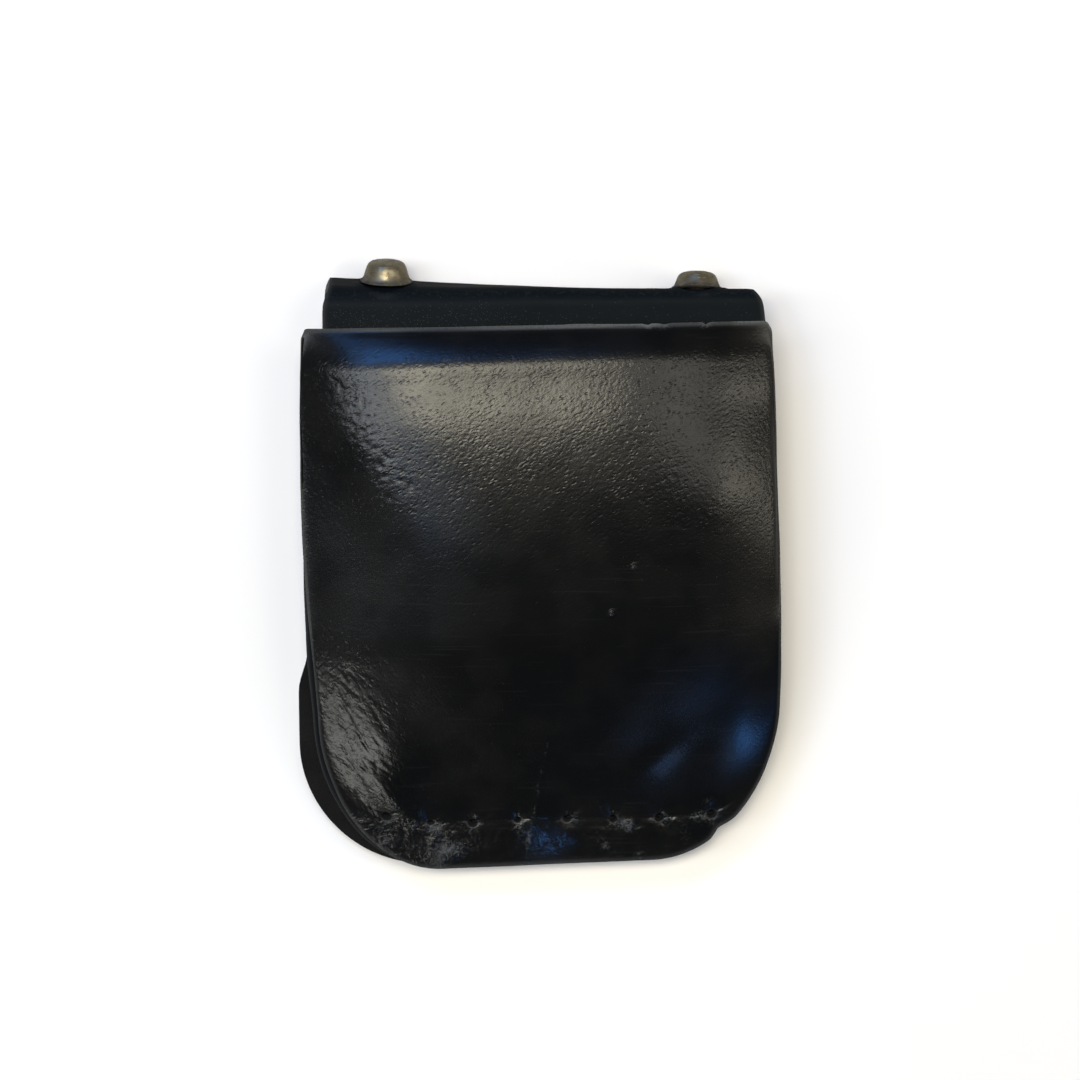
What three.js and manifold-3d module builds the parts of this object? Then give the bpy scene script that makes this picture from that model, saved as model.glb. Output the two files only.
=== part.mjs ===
// Studded leather belt pouch, lying on its back.
// Millimetres. +Z points out of the pouch's front, +Y to its folded top edge, +X to the right of the front.
// The origin is under the middle of the pouch.

import * as THREE from "three";
import { mergeVertices } from "three/addons/utils/BufferGeometryUtils.js";
import Module from "manifold-3d";

const wasm = await Module();
wasm.setup();

// Leather
const leather = 2.2; // thickness of every layer
const gap = 0.3; // space between pieces that lie on each other

// Places along the pouch
const lipY = -50.4; // lower edge of the three layers
const seamY = -42; // row of stitches through the three layers
const mouthY = 44.6; // free upper edge of the front
const crestY = 50.8; // outside of the fold at the top

// How much each line climbs for a millimetre to the right
const lipSlope = 0.03;
const mouthSlope = 0.016;
const crestSlope = -0.026;

// Belt loop behind the back
const beltGap = 6.6; // space for the belt
const loopTopZ = 2 * leather + beltGap; // upper face of the back, over the belt
const loopMiddleZ = loopTopZ / 2;
const lipTopZ = 2 * leather + gap; // upper face of the back under the front's lip
const beltRampY = -6; // the back has risen to the full belt gap here
const foldRadius = 3; // outside of the square fold
const foldY = crestY - foldRadius; // the strap starts to bend here
const crestTilt = { left: 10, right: -9 }; // degrees that the crest leans to the front at either stud
const tiltFadeY = 30; // the lean of the crest dies out here

// Front: side lines without the rounded corners, how far its middle rises from the back,
// and the power of the curve from either side up to the middle
const frontSections = [
  { y: lipY, left: -37.9, right: 41.3, rise: 0, leftRound: 2.3, rightRound: 2.3 },
  { y: seamY, left: -37.9, right: 41.3, rise: 0, leftRound: 2.3, rightRound: 2.3 },
  { y: -36, left: -37.9, right: 41.4, rise: 2.2, leftRound: 2.3, rightRound: 2.3 },
  { y: -24, left: -38.3, right: 41.5, rise: 6.4, leftRound: 2.4, rightRound: 2.4 },
  { y: -8, left: -39.6, right: 41.3, rise: 9.6, leftRound: 2.5, rightRound: 2.5 },
  { y: 8, left: -40.7, right: 40.8, rise: 10.4, leftRound: 2.6, rightRound: 2.7 },
  { y: 20, left: -41, right: 40.3, rise: 10.2, leftRound: 3, rightRound: 2.9 },
  { y: 30, left: -41.1, right: 39.9, rise: 9.3, leftRound: 4, rightRound: 3.2 },
  { y: 36, left: -41, right: 39.7, rise: 8.2, leftRound: 5, rightRound: 3.4 },
  { y: 40, left: -40.8, right: 39.4, rise: 7, leftRound: 5, rightRound: 3.4 },
  { y: 43, left: -40.7, right: 39.2, rise: 5.5, leftRound: 5, rightRound: 3.4 },
  { y: mouthY, left: -40.6, right: 39, rise: 4.4, leftRound: 5, rightRound: 3.4 },
];
const frontMargin = 0.4; // flat border along the side edges
const frontBend = 1.5; // radius of the hollow where the border turns up
const frontShoulder = 0.92; // share of the half width over which the front rises
const mouthTrim = 9; // stretch under the mouth over which its edge is drawn straight

// Side lines of the back, and of the belt loop behind it
const backSections = [
  { y: lipY, left: -39, right: 40.7 },
  { y: -24, left: -39.3, right: 40.9 },
  { y: -10, left: -40.5, right: 40.7 },
  { y: 10, left: -40.8, right: 40.3 },
  { y: 34, left: -40.6, right: 39.4 },
  { y: 41, left: -37.2, right: 38.8 },
  { y: foldY, left: -37, right: 38 },
  { y: crestY, left: -36, right: 36.4 },
];
const loopSections = [
  { y: lipY, left: -41.6, right: 40.5 },
  { y: -19, left: -42.1, right: 40.6 },
  { y: -13, left: -40.6, right: 40.6 },
  { y: 10, left: -39.6, right: 40.2 },
  { y: foldY, left: -37, right: 38 },
];

// Rounded corners as quarter ellipses, and the notch where the seam ends on the right
const corners = {
  frontLeft: { across: 21, along: 28 },
  backLeft: { across: 21.5, along: 27 },
  loopLeft: { across: 23.5, along: 22 },
  right: { across: 21.5, along: 28 },
  mouth: { across: 2, along: 2 },
};
const seamNotch = { y: -45, depth: 1.3, spread: 1.3 };

// Long soft folds and dents of the front: middle, direction, half length, half width and height
const foldRise = 6; // they are at full height where the front has risen this far
const folds = [
  { name: "upper left pull", x: -30, y: 24, degrees: -58, length: 15, width: 4.5, height: 0.9 },
  { name: "upper left hollow", x: -34, y: 14, degrees: -70, length: 16, width: 5, height: -0.8 },
  { name: "lower left swell", x: -28, y: -27, degrees: 50, length: 12, width: 6, height: 1 },
  { name: "right swell", x: 31, y: 14, degrees: 80, length: 14, width: 6, height: 0.9 },
  { name: "lower right dent", x: 24, y: -30, degrees: -35, length: 10, width: 5, height: -0.8 },
];

// Studs: place on the crest and height of the head, which is beaten flatter on the right
const studs = [
  { name: "stud_left", x: -26.3, head: 3.8, tilt: crestTilt.left },
  { name: "stud_right", x: 27.2, head: 3.1, tilt: crestTilt.right },
];
const studProfile = [
  { radius: 0, share: 1 },
  { radius: 1.6, share: 0.97 },
  { radius: 2.6, share: 0.91 },
  { radius: 3.2, share: 0.79 },
  { radius: 3.5, share: 0.6 },
  { radius: 3.75, share: 0.34 },
  { radius: 4.05, share: 0.15 },
  { radius: 4.45, share: 0.07 },
  { radius: 4.45, share: 0 },
];
const postRadius = 1.5;
const holeRadius = postRadius + gap;
const drillLength = 4 * leather;
const rivetCap = { radius: 2.2, thickness: 0.9 };
const studSides = 20;

// Fineness of the leather meshes
const frontGrid = { columns: 28, rows: 36 };
const strapGrid = { columns: 14, back: 24, fold: 5, loop: 22 };
const edgeShare = 0.8; // how far grid lines are drawn towards the edges
const slopeStep = 0.05; // distance over which the front's slope is measured

const leatherBlack = new THREE.MeshStandardMaterial({ color: 0x0d0d0e, roughness: 0.42, metalness: 0 });
const leatherStrap = new THREE.MeshStandardMaterial({ color: 0x101114, roughness: 0.62, metalness: 0 });
const agedNickel = new THREE.MeshStandardMaterial({ color: 0x6d645a, roughness: 0.38, metalness: 1 });

const { clamp, degToRad, lerp, smoothstep } = THREE.MathUtils;

// Smooth curve through one column of a table, without overshoot between its rows
function readTable(table, column, y) {
  const last = table.length - 2;
  const change = (row, key) => table[row + 1][key] - table[row][key];
  const slopeAfter = (row) => change(row, column) / change(row, "y");
  const tangent = (row) => {
    const before = slopeAfter(Math.max(row - 1, 0));
    const after = slopeAfter(Math.min(row, last));
    return before * after > 0 ? (2 * before * after) / (before + after) : 0;
  };
  const next = table.findIndex((entry) => entry.y > y);
  const row = next < 0 ? last : Math.max(next - 1, 0);
  const span = change(row, "y");
  const t = clamp((y - table[row].y) / span, 0, 1);
  const rest = 1 - t;
  const ends = table[row][column] * rest * rest * (1 + 2 * t) + table[row + 1][column] * t * t * (3 - 2 * t);
  return ends + span * t * rest * (tangent(row) * rest - tangent(row + 1) * t);
}

// How far a rounded corner pulls a side in, at a distance from the edge that it runs into
function cornerInset(corner, distance) {
  const share = clamp(1 - distance / corner.along, 0, 1);
  return corner.across * (1 - Math.sqrt(1 - share * share));
}

function notchInset(y) {
  return seamNotch.depth * Math.exp(-(((y - seamNotch.y) / seamNotch.spread) ** 2));
}

function sidesAt(sections, leftCorner, y) {
  const height = y - lipY;
  return {
    left: readTable(sections, "left", y) + cornerInset(leftCorner, height),
    right: readTable(sections, "right", y) - cornerInset(corners.right, height) - notchInset(y),
  };
}

function frontSidesAt(y) {
  const sides = sidesAt(frontSections, corners.frontLeft, y);
  const mouthInset = cornerInset(corners.mouth, mouthY - y);
  return { left: sides.left + mouthInset, right: sides.right - mouthInset };
}

// Upper face of the back, which rises from the lip to the belt gap
function backTop(y) {
  return lerp(lipTopZ, loopTopZ, smoothstep(y, seamY, beltRampY));
}

function foldHeight(x, y) {
  let height = 0;
  for (const fold of folds) {
    const angle = degToRad(fold.degrees);
    const along = (x - fold.x) * Math.cos(angle) + (y - fold.y) * Math.sin(angle);
    const across = (y - fold.y) * Math.cos(angle) - (x - fold.x) * Math.sin(angle);
    height += fold.height * Math.exp(-((along / fold.length) ** 2) - (across / fold.width) ** 2);
  }
  return height;
}

// Inner face of the front, over any point of the pouch
function frontInside(x, y) {
  const { left, right } = sidesAt(frontSections, corners.frontLeft, clamp(y, lipY, mouthY));
  const inset = Math.max(Math.min(x - left, right - x) - frontMargin, 0);
  const climb = Math.hypot(inset, frontBend) - frontBend;
  const share = clamp((2 * climb) / (frontShoulder * (right - left)), 0, 1);
  const nearer = x - left < right - x ? "leftRound" : "rightRound";
  const across = 1 - (1 - share) ** readTable(frontSections, nearer, y);
  const rise = readTable(frontSections, "rise", y);
  const swell = smoothstep(rise, 0, foldRise) * across;
  return backTop(y) + gap + rise * across + foldHeight(x, y) * swell;
}

// Grid positions from 0 to 1, closer together at both ends
function spread(index, count) {
  const even = index / count;
  return lerp(even, (1 - Math.cos(Math.PI * even)) / 2, edgeShare);
}

// Closed sheet of leather from a grid of points on its outer and inner face
function sheetGeometry(columns, rows, place) {
  const positions = [];
  for (const side of ["outer", "inner"]) {
    for (let row = 0; row <= rows; row += 1) {
      for (let column = 0; column <= columns; column += 1) {
        positions.push(...place(column, row)[side]);
      }
    }
  }
  const faceSize = (columns + 1) * (rows + 1);
  const outer = (column, row) => row * (columns + 1) + column;
  const inner = (column, row) => outer(column, row) + faceSize;
  const triangles = [];
  for (let row = 0; row < rows; row += 1) {
    for (let column = 0; column < columns; column += 1) {
      const [a, b] = [outer(column, row), outer(column + 1, row)];
      const [c, d] = [outer(column + 1, row + 1), outer(column, row + 1)];
      triangles.push(a, b, c, a, c, d);
      triangles.push(...[a, c, b, a, d, c].map((corner) => corner + faceSize));
    }
  }
  const border = [];
  for (let column = 0; column < columns; column += 1) border.push([column, 0]);
  for (let row = 0; row < rows; row += 1) border.push([columns, row]);
  for (let column = columns; column > 0; column -= 1) border.push([column, rows]);
  for (let row = rows; row > 0; row -= 1) border.push([0, row]);
  border.forEach((here, index) => {
    const next = border[(index + 1) % border.length];
    triangles.push(inner(...here), inner(...next), outer(...next));
    triangles.push(inner(...here), outer(...next), outer(...here));
  });
  const geometry = new THREE.BufferGeometry();
  geometry.setAttribute("position", new THREE.Float32BufferAttribute(positions, 3));
  geometry.setIndex(triangles);
  return geometry;
}

function frontGeometry() {
  const { columns, rows } = frontGrid;
  return sheetGeometry(columns, rows, (column, row) => {
    const y = lerp(lipY, mouthY, spread(row, rows));
    const { left, right } = frontSidesAt(y);
    const x = lerp(left, right, spread(column, columns));
    const z = frontInside(x, y);
    const climbX = (frontInside(x + slopeStep, y) - frontInside(x - slopeStep, y)) / (2 * slopeStep);
    const climbY = (frontInside(x, y + slopeStep) - frontInside(x, y - slopeStep)) / (2 * slopeStep);
    const outward = new THREE.Vector3(-climbX, -climbY, 1).setLength(leather);
    const slant = x * lerp(lipSlope, mouthSlope, (y - lipY) / (mouthY - lipY));
    const trim = outward.y * smoothstep(y, mouthY - mouthTrim, mouthY);
    const innerY = y + slant - trim;
    return {
      inner: [x, innerY, z],
      outer: [x + outward.x, innerY + outward.y, z + outward.z],
    };
  });
}

function crestTiltAt(x) {
  const [first, last] = studs;
  return degToRad(lerp(first.tilt, last.tilt, (x - first.x) / (last.x - first.x)));
}

// Outer face of the strap as it runs up the back, over the fold and down the belt loop
function strapStations() {
  const stations = [];
  for (let step = 0; step <= strapGrid.back; step += 1) {
    const y = lerp(lipY, foldY, spread(step, strapGrid.back));
    stations.push({ y, z: backTop(y), ...sidesAt(backSections, corners.backLeft, y) });
  }
  const upperBend = { z: loopTopZ - foldRadius, startDegrees: 90, firstStep: 1 };
  const lowerBend = { z: foldRadius, startDegrees: 0, firstStep: 0 };
  for (const bend of [upperBend, lowerBend]) {
    for (let step = bend.firstStep; step <= strapGrid.fold; step += 1) {
      const angle = degToRad(bend.startDegrees - (90 * step) / strapGrid.fold);
      const y = foldY + foldRadius * Math.cos(angle);
      const z = bend.z + foldRadius * Math.sin(angle);
      stations.push({ y, z, ...sidesAt(backSections, corners.backLeft, y) });
    }
  }
  for (let step = 1; step <= strapGrid.loop; step += 1) {
    const y = lerp(foldY, lipY, spread(step, strapGrid.loop));
    stations.push({ y, z: 0, ...sidesAt(loopSections, corners.loopLeft, y) });
  }
  return stations;
}

// Climb of the strap's lines to the right, and the lean of its crest
function slantStrap(x, y, z) {
  const slope = lerp(lipSlope, crestSlope, (y - lipY) / (crestY - lipY));
  const lean = (z - loopMiddleZ) * Math.tan(crestTiltAt(x)) * smoothstep(y, tiltFadeY, crestY);
  return [x, y + slope * x - lean, z];
}

function strapGeometry() {
  const stations = strapStations();
  const rows = stations.length - 1;
  return sheetGeometry(strapGrid.columns, rows, (column, row) => {
    const station = stations[row];
    const before = stations[Math.max(row - 1, 0)];
    const after = stations[Math.min(row + 1, rows)];
    const inward = new THREE.Vector2(after.z - before.z, before.y - after.y).setLength(leather);
    const x = lerp(station.left, station.right, spread(column, strapGrid.columns));
    return {
      outer: slantStrap(x, station.y, station.z),
      inner: slantStrap(x, station.y + inward.x, station.z + inward.y),
    };
  });
}

// Domed head, post through the leather and plain cap inside the loop, turned about the post
function studGeometry(head) {
  const capTop = -(leather + 2 * gap);
  const shank = [
    { radius: postRadius, height: 0 },
    { radius: postRadius, height: capTop },
    { radius: rivetCap.radius, height: capTop },
    { radius: rivetCap.radius, height: capTop - rivetCap.thickness },
    { radius: 0, height: capTop - rivetCap.thickness },
  ];
  const dome = studProfile.map((point) => ({ radius: point.radius, height: point.share * head }));
  const outline = [...dome, ...shank].map((point) => new THREE.Vector2(point.radius, point.height));
  return new THREE.LatheGeometry(outline.reverse(), studSides);
}

// Places a shape on the crest with its own +Y standing out of the leather
function standOnCrest(object, x) {
  object.position.set(...slantStrap(x, crestY + gap, loopMiddleZ));
  object.rotation.set(crestTiltAt(x), 0, Math.atan(crestSlope));
  object.updateMatrixWorld(true);
  return object;
}

function toSolid(geometry) {
  const bare = geometry.clone();
  bare.deleteAttribute("normal");
  bare.deleteAttribute("uv");
  const merged = mergeVertices(bare);
  const vertProperties = new Float32Array(merged.attributes.position.array);
  const triVerts = new Uint32Array(merged.index.array);
  return new wasm.Manifold(new wasm.Mesh({ numProp: 3, vertProperties, triVerts }));
}

function toGeometry(solid) {
  const mesh = solid.getMesh();
  const geometry = new THREE.BufferGeometry();
  geometry.setAttribute("position", new THREE.BufferAttribute(mesh.vertProperties, 3));
  geometry.setIndex(new THREE.BufferAttribute(mesh.triVerts, 1));
  geometry.computeVertexNormals();
  return geometry;
}

// The strap with a hole for the post of each stud
function strapWithHoles() {
  let strap = toSolid(strapGeometry());
  for (const { x } of studs) {
    const drill = new THREE.CylinderGeometry(holeRadius, holeRadius, drillLength, studSides);
    const hole = standOnCrest(new THREE.Object3D(), x);
    strap = strap.subtract(toSolid(drill.applyMatrix4(hole.matrixWorld)));
  }
  return toGeometry(strap);
}

function namedMesh(name, geometry, material) {
  const mesh = new THREE.Mesh(geometry, material);
  mesh.name = name;
  return mesh;
}

const body = new THREE.Group();
body.add(namedMesh("front_panel", frontGeometry(), leatherBlack));
body.add(namedMesh("back_and_belt_loop", strapWithHoles(), leatherStrap));
for (const { name, x, head } of studs) {
  body.add(standOnCrest(namedMesh(name, studGeometry(head), agedNickel), x));
}

// The pouch is set on the origin by the middle of its underside
const extent = new THREE.Box3().setFromObject(body, true);
const middle = extent.getCenter(new THREE.Vector3());
body.position.set(-middle.x, -middle.y, -extent.min.z);

const pouch = new THREE.Group();
pouch.add(body);
pouch.updateMatrixWorld(true);

export default pouch;
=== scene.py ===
import math
import random
import bmesh
import bpy
import numpy as np
from mathutils import Matrix, Vector, kdtree, noise


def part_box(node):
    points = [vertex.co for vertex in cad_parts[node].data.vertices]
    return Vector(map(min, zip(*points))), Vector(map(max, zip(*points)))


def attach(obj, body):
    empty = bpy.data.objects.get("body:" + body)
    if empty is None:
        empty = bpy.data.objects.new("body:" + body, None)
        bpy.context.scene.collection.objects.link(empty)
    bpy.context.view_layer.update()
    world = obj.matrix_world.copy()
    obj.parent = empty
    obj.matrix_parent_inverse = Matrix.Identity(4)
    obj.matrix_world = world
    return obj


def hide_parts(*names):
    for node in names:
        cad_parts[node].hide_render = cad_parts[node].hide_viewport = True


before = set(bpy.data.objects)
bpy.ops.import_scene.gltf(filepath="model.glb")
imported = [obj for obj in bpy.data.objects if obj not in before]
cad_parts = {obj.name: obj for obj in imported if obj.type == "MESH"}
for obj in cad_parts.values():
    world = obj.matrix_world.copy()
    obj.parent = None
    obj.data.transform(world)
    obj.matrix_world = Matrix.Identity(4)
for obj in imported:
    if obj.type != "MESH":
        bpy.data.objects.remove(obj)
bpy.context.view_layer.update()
mm = 0.001  # sizes below are in millimetres, finishPiece turns them into metres
slopeStep = 0.05  # how far apart two points are for a slope
print("frame loaded:", sorted(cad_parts))

# camera over the pouch, tipped a little towards its folded top
view = dict(eye=(-23.4, 54.8, 461.0), aim=(-0.1, 5.7, 15.0), up=(0, 1, 0), lens=88.0)


def addCamera():
    data = bpy.data.cameras.new("overPouch")
    data.lens = view["lens"]
    camera = bpy.data.objects.new("overPouch", data)
    bpy.context.scene.collection.objects.link(camera)
    eye = Vector(view["eye"]) * mm
    ahead = (Vector(view["aim"]) * mm - eye).normalized()
    right = ahead.cross(Vector(view["up"])).normalized()
    axes = Matrix((right, right.cross(ahead), -ahead)).transposed()
    camera.matrix_world = Matrix.Translation(eye) @ axes.to_4x4()
    bpy.context.scene.camera = camera


addCamera()
print("camera set")

# places that the pieces share, +Y to the folded top and +Z out of the front
pouch = dict(
    thick=2.2, gap=0.3,
    lipY=-50.4, seamY=-42.0, mouthY=44.6, crestY=50.8,
    lipSlope=0.03, mouthSlope=0.016, crestSlope=-0.026,  # climb of each line to the right
    lipTopZ=4.7, loopTopZ=11.0, beltRampY=-6.0,
    notchY=-45.0, notchDepth=1.3, notchSpread=1.3,
)
# stitch holes through the three layers
holes = [
    dict(x=-26.8, y=-39.9, size=1.25),
    dict(x=-19.1, y=-41.5, size=0.85),
    dict(x=-11.8, y=-42.1, size=1.1),
    dict(x=-3.9, y=-41.8, size=0.85),
    dict(x=4.8, y=-41.9, size=1.05),
    dict(x=12.9, y=-42.4, size=0.95),
    dict(x=21.0, y=-42.5, size=1.05),
    dict(x=30.3, y=-42.2, size=1.15),
]


def ease(value, low, high):
    share = np.clip((value - low) / (high - low), 0, 1)
    return share * share * (3 - 2 * share)


def mix(start, end, share):
    return start + (end - start) * share


def bell(away, width, power=2):
    # 1 in the middle, fading with distance
    return np.exp(-((away / width) ** power))


def readTable(table, column, y):
    # smooth curve through one column, with no overshoot between rows
    ys = np.array([row["y"] for row in table], float)
    values = np.array([row[column] for row in table], float)
    slopes = np.diff(values) / np.diff(ys)
    before = np.concatenate([slopes[:1], slopes])
    after = np.concatenate([slopes, slopes[-1:]])
    total = np.where(before * after > 0, before + after, 1)
    tangents = np.where(before * after > 0, 2 * before * after / total, 0)
    row = np.clip(np.searchsorted(ys, y, side="right") - 1, 0, len(ys) - 2)
    span = ys[row + 1] - ys[row]
    t = np.clip((y - ys[row]) / span, 0, 1)
    rest = 1 - t
    ends = values[row] * rest * rest * (1 + 2 * t) + values[row + 1] * t * t * (3 - 2 * t)
    return ends + span * t * rest * (tangents[row] * rest - tangents[row + 1] * t)


def cornerInset(corner, distance):
    share = np.clip(1 - distance / corner["along"], 0, 1)
    return corner["across"] * (1 - np.sqrt(1 - share * share))


def notchInset(y):
    return pouch["notchDepth"] * bell(y - pouch["notchY"], pouch["notchSpread"])


def backTop(y):
    # upper face of the back, from the lip up to the belt gap
    return mix(pouch["lipTopZ"], pouch["loopTopZ"], ease(y, pouch["seamY"], pouch["beltRampY"]))


def oval(x, y, spot):
    # soft swell, groove or dent with a direction
    angle = math.radians(spot["degrees"])
    along = (x - spot["x"]) * math.cos(angle) + (y - spot["y"]) * math.sin(angle)
    across = (y - spot["y"]) * math.cos(angle) - (x - spot["x"]) * math.sin(angle)
    return spot["height"] * np.exp(-((along / spot["length"]) ** 2) - (across / spot["width"]) ** 2)


def softNoise(x, y, size, seed):
    pairs = zip(np.asarray(x) / size + seed, np.asarray(y) / size)
    return np.array([noise.noise((a, b, seed)) for a, b in pairs])


def ripple(x, y, layers):
    # each layer has its depth, its size and a seed
    return sum(deep * softNoise(x, y, size, seed) for deep, size, seed in layers)


def nearLine(x, y, line):
    # distance of points from a straight stretch
    start, end = np.array(line[0], float), np.array(line[1], float)
    run = end - start
    t = np.clip(((x - start[0]) * run[0] + (y - start[1]) * run[1]) / run.dot(run), 0, 1)
    return np.hypot(x - start[0] - t * run[0], y - start[1] - t * run[1])


def seamLine(x):
    return np.interp(x, [hole["x"] for hole in holes], [hole["y"] for hole in holes])


def seamSwell(x):
    # 0 at a stitch hole and 1 midway between two
    phase = np.interp(x, [hole["x"] for hole in holes], range(len(holes)))
    return np.sin(math.pi * phase) ** 2


# outline of a cut sheet: side lines with an arc at each corner, as four runs that meet halfway round the arcs
runPoints = dict(arc=40, side=200, end=80)


def sheetRuns(sides, low, high, lowCorners, highCorners):
    turn = np.radians(np.linspace(0, 45, runPoints["arc"]))

    def arc(hand, corner, top, angles):
        reach = corner["along"] * (1 - np.sin(angles))
        t = high - reach if top else low + reach
        inset = corner["across"] * (1 - np.cos(angles))
        x = sides(t)[0] + inset if hand == 0 else sides(t)[1] - inset
        return np.column_stack([x, t])

    def side(hand):
        start, end = lowCorners[hand], highCorners[hand]
        t = np.linspace(low + start["along"], high - end["along"], runPoints["side"])
        straight = np.column_stack([sides(t)[hand], t])
        return np.vstack([arc(hand, start, False, turn[::-1]), straight, arc(hand, end, True, turn)])

    def end(corners, top):
        steep = turn + math.radians(45)
        first, last = arc(0, corners[0], top, steep), arc(1, corners[1], top, steep[::-1])
        share = np.linspace(0, 1, runPoints["end"])[:, None]
        return np.vstack([first, first[-1] * (1 - share) + last[0] * share, last])

    return dict(left=side(0), right=side(1), lower=end(lowCorners, False), upper=end(highCorners, True))


def alongRun(run, share):
    steps = np.hypot(*np.diff(run, axis=0).T)
    travelled = np.concatenate([[0], np.cumsum(steps)])
    where = share * travelled[-1]
    return np.column_stack([np.interp(where, travelled, run[:, 0]), np.interp(where, travelled, run[:, 1])])


def cutSheet(runs, columns, rows, rowShare):
    # flat grid stretched between the four runs of the outline
    bm = bmesh.new()
    bmesh.ops.create_grid(bm, x_segments=columns, y_segments=rows, size=0.5)
    flat = np.array([vert.co for vert in bm.verts])
    u, v = flat[:, 0] + 0.5, rowShare(flat[:, 1] + 0.5)
    lower, upper = alongRun(runs["lower"], u), alongRun(runs["upper"], u)
    left, right = alongRun(runs["left"], v), alongRun(runs["right"], v)
    u, v = u[:, None], v[:, None]
    ends = [runs[name][i] for name in ("lower", "upper") for i in (0, -1)]
    corners = (1 - v) * ((1 - u) * ends[0] + u * ends[1]) + v * ((1 - u) * ends[2] + u * ends[3])
    placed = (1 - v) * lower + v * upper + (1 - u) * left + u * right - corners
    for vert, point in zip(bm.verts, placed):
        vert.co = (*point, 0)
    return bm


def refineNear(bm, spots, cuts):
    # finer mesh around small features
    def close(edge):
        middle = (edge.verts[0].co + edge.verts[1].co) / 2
        return any(math.hypot(middle.x - x, middle.y - y) < reach for x, y, reach in spots)

    edges = [edge for edge in bm.edges if close(edge)]
    bmesh.ops.subdivide_edges(bm, edges=edges, cuts=cuts, use_grid_fill=True)


def edgeDistances(bm):
    rim = [vert for vert in bm.verts if vert.is_boundary]
    tree = kdtree.KDTree(len(rim))
    for index, vert in enumerate(rim):
        tree.insert(vert.co, index)
    tree.balance()
    return np.array([tree.find(vert.co)[2] for vert in bm.verts])


def thicken(bm, outer, inner, masks, rimRound):
    # second skin inside the first, joined by the cut edge all round
    for name, values in masks.items():
        layer = bm.verts.layers.float.new(name)
        for vert, value in zip(bm.verts, values):
            vert[layer] = value
    order = bm.verts.layers.int.new("order")
    for index, vert in enumerate(bm.verts):
        vert[order] = index
    skin = set(bm.faces)
    made = bmesh.ops.extrude_face_region(bm, geom=bm.faces[:], use_keep_orig=True)["geom"]
    lining = {item for item in made if isinstance(item, bmesh.types.BMFace)}
    inside = {item for item in made if isinstance(item, bmesh.types.BMVert)}
    for vert in bm.verts:
        vert.co = inner[vert[order]] if vert in inside else outer[vert[order]]
    for face in bm.faces:
        face.material_index = 0 if face in skin else 1 if face in lining else 2
    bmesh.ops.recalc_face_normals(bm, faces=bm.faces)
    if bm.calc_volume(signed=True) < 0:
        bmesh.ops.reverse_faces(bm, faces=bm.faces)
    # edges between a skin and the cut edge
    rim = [edge for edge in bm.edges if len({face.material_index == 2 for face in edge.link_faces}) == 2]
    bmesh.ops.bevel(bm, geom=rim, offset=rimRound, segments=3, profile=0.5,
                    affect="EDGES", clamp_overlap=True, material=-1)
    bm.verts.layers.int.remove(bm.verts.layers.int["order"])


def finishPiece(bm, name, materials, node=None):
    bmesh.ops.scale(bm, vec=(mm, mm, mm), verts=bm.verts)
    for face in bm.faces:
        face.smooth = True
    mesh = bpy.data.meshes.new(name)
    bm.to_mesh(mesh)
    bm.free()
    for material in materials:
        mesh.materials.append(material)
    piece = bpy.data.objects.new(name, mesh)
    bpy.context.scene.collection.objects.link(piece)
    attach(piece, "root")
    if node:
        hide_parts(node)
    print(name, "made with", len(mesh.polygons), "faces")
    return piece


# shader helpers
def feed(tree, socket, value):
    # by a link or as a plain value
    if isinstance(value, bpy.types.NodeSocket):
        tree.links.new(value, socket)
    else:
        socket.default_value = value


def addNode(tree, kind, values=None, **settings):
    node = tree.nodes.new(kind)
    for name, value in settings.items():
        setattr(node, name, value)
    for name, value in (values or {}).items():
        feed(tree, node.inputs[name], value)
    return node


def calc(tree, operation, first, second, clamp=False):
    node = addNode(tree, "ShaderNodeMath", {0: first, 1: second}, operation=operation, use_clamp=clamp)
    return node.outputs[0]


def times(tree, first, second):
    return calc(tree, "MULTIPLY", first, second)


def plus(tree, first, second):
    return calc(tree, "ADD", first, second)


def minus(tree, first, second):
    return calc(tree, "SUBTRACT", first, second)


def ramp(tree, value, low, high, start=0.0, end=1.0):
    values = {"Value": value, "From Min": low, "From Max": high, "To Min": start, "To Max": end}
    return addNode(tree, "ShaderNodeMapRange", values, interpolation_type="SMOOTHSTEP").outputs[0]


def cloudAt(tree, place, scale, detail, rough=0.5, bend=0.0):
    values = {"Vector": place, "Scale": scale, "Detail": detail, "Roughness": rough, "Distortion": bend}
    return addNode(tree, "ShaderNodeTexNoise", values).outputs


def cellsAt(tree, place, scale):
    return addNode(tree, "ShaderNodeTexVoronoi", {"Vector": place, "Scale": scale}).outputs


def stretchAt(tree, place, scale):
    return addNode(tree, "ShaderNodeMapping", {"Vector": place, "Scale": scale}).outputs[0]


def mixColour(tree, share, first, second):
    values = {0: share, 6: first, 7: second}  # factor and the two colours
    return addNode(tree, "ShaderNodeMix", values, data_type="RGBA", clamp_factor=True).outputs[2]


def newGroup(name, values, outputs):
    # takes a place and the plain values named
    group = bpy.data.node_groups.new(name, "ShaderNodeTree")
    group.interface.new_socket("Vector", in_out="INPUT", socket_type="NodeSocketVector")
    for label, value in values.items():
        socket = group.interface.new_socket(label, in_out="INPUT", socket_type="NodeSocketFloat")
        socket.default_value = value
    for label in outputs:
        group.interface.new_socket(label, in_out="OUTPUT", socket_type="NodeSocketFloat")
    return group, group.nodes.new("NodeGroupInput").outputs, group.nodes.new("NodeGroupOutput").inputs


def placeGroup(tree, group, values):
    return addNode(tree, "ShaderNodeGroup", values, node_tree=group).outputs


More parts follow.
